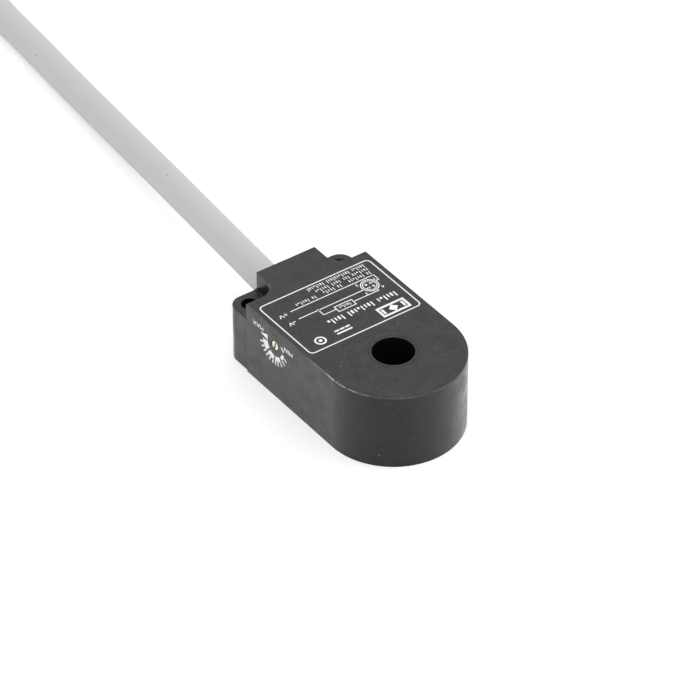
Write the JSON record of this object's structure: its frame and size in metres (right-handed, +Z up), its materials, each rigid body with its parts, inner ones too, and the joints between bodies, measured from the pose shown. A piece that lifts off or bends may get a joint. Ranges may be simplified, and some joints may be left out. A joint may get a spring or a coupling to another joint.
{
  "type": "inductive ring sensor",
  "caption": "Dark moulded ring sensor with a round sensing bore, screw ears, a side trimmer and a grey cable with a round threaded plug.",
  "frame": {"origin": "on the sensing bore's axis, in the plane of the base", "axes": "+Z up along the sensing bore, +X towards the rounded ring end, so that the cable leaves towards -X and the trimmer faces -Y"},
  "size_m": [0.2768, 0.0417, 0.0206],
  "materials": {
    "housing_plastic": "matt, finely grained",
    "cover_plastic": "matt",
    "sleeve_plastic": "satin",
    "bobbin_plastic": "satin",
    "copper": "enamelled",
    "shield_metal": "rolled",
    "board_laminate": "solder mask",
    "chip_plastic": "matt",
    "capacitor_resin": "gloss",
    "trimmer_plastic": "gloss",
    "black_rubber": "matt",
    "trimmer_brass": "turned",
    "wire_brown": "smooth",
    "wire_blue": "smooth",
    "wire_black": "smooth",
    "cable_jacket": "satin",
    "plug_plastic": "matt",
    "insert_plastic": "matt",
    "nickel": "nickel plated",
    "gold": "gold plated"
  },
  "bodies": {
    "sensor": {"housing": "housing_plastic", "base_cover": "cover_plastic", "bore_sleeve": "sleeve_plastic", "coil_bobbin": "bobbin_plastic", "coil_winding": "copper", "coil_lead_a": "copper", "coil_lead_b": "copper", "shield_ring": "shield_metal", "circuit_board": "board_laminate", "oscillator_chip": "chip_plastic", "output_transistor": "chip_plastic", "capacitor": "capacitor_resin", "trimmer_case": "trimmer_plastic", "trimmer_seal": "black_rubber", "wire_brown": "wire_brown", "wire_blue": "wire_blue", "wire_black": "wire_black", "cable_seal": "black_rubber", "cable": "cable_jacket", "plug_grip": "plug_plastic", "plug_insert": "insert_plastic", "pin_1": "gold", "pin_2": "gold", "pin_3": "gold", "pin_4": "gold"},
    "trimmer_rotor": {"trimmer_screw": "trimmer_brass"},
    "coupling": {"coupling_ring": "nickel"}
  },
  "joints": [
    {"name": "trimmer_turn", "type": "hinge", "parent": "sensor", "child": "trimmer_rotor", "pos_m": [-0.0232, -0.0176, 0.0155], "axis": [0, -1, 0], "range_deg": [-135, 135]},
    {"name": "coupling_turn", "type": "hinge", "parent": "sensor", "child": "coupling", "pos_m": [-0.219, 0.01465, 0.0073], "axis": [-0.9976, 0.0698, 0], "continuous": true}
  ]
}
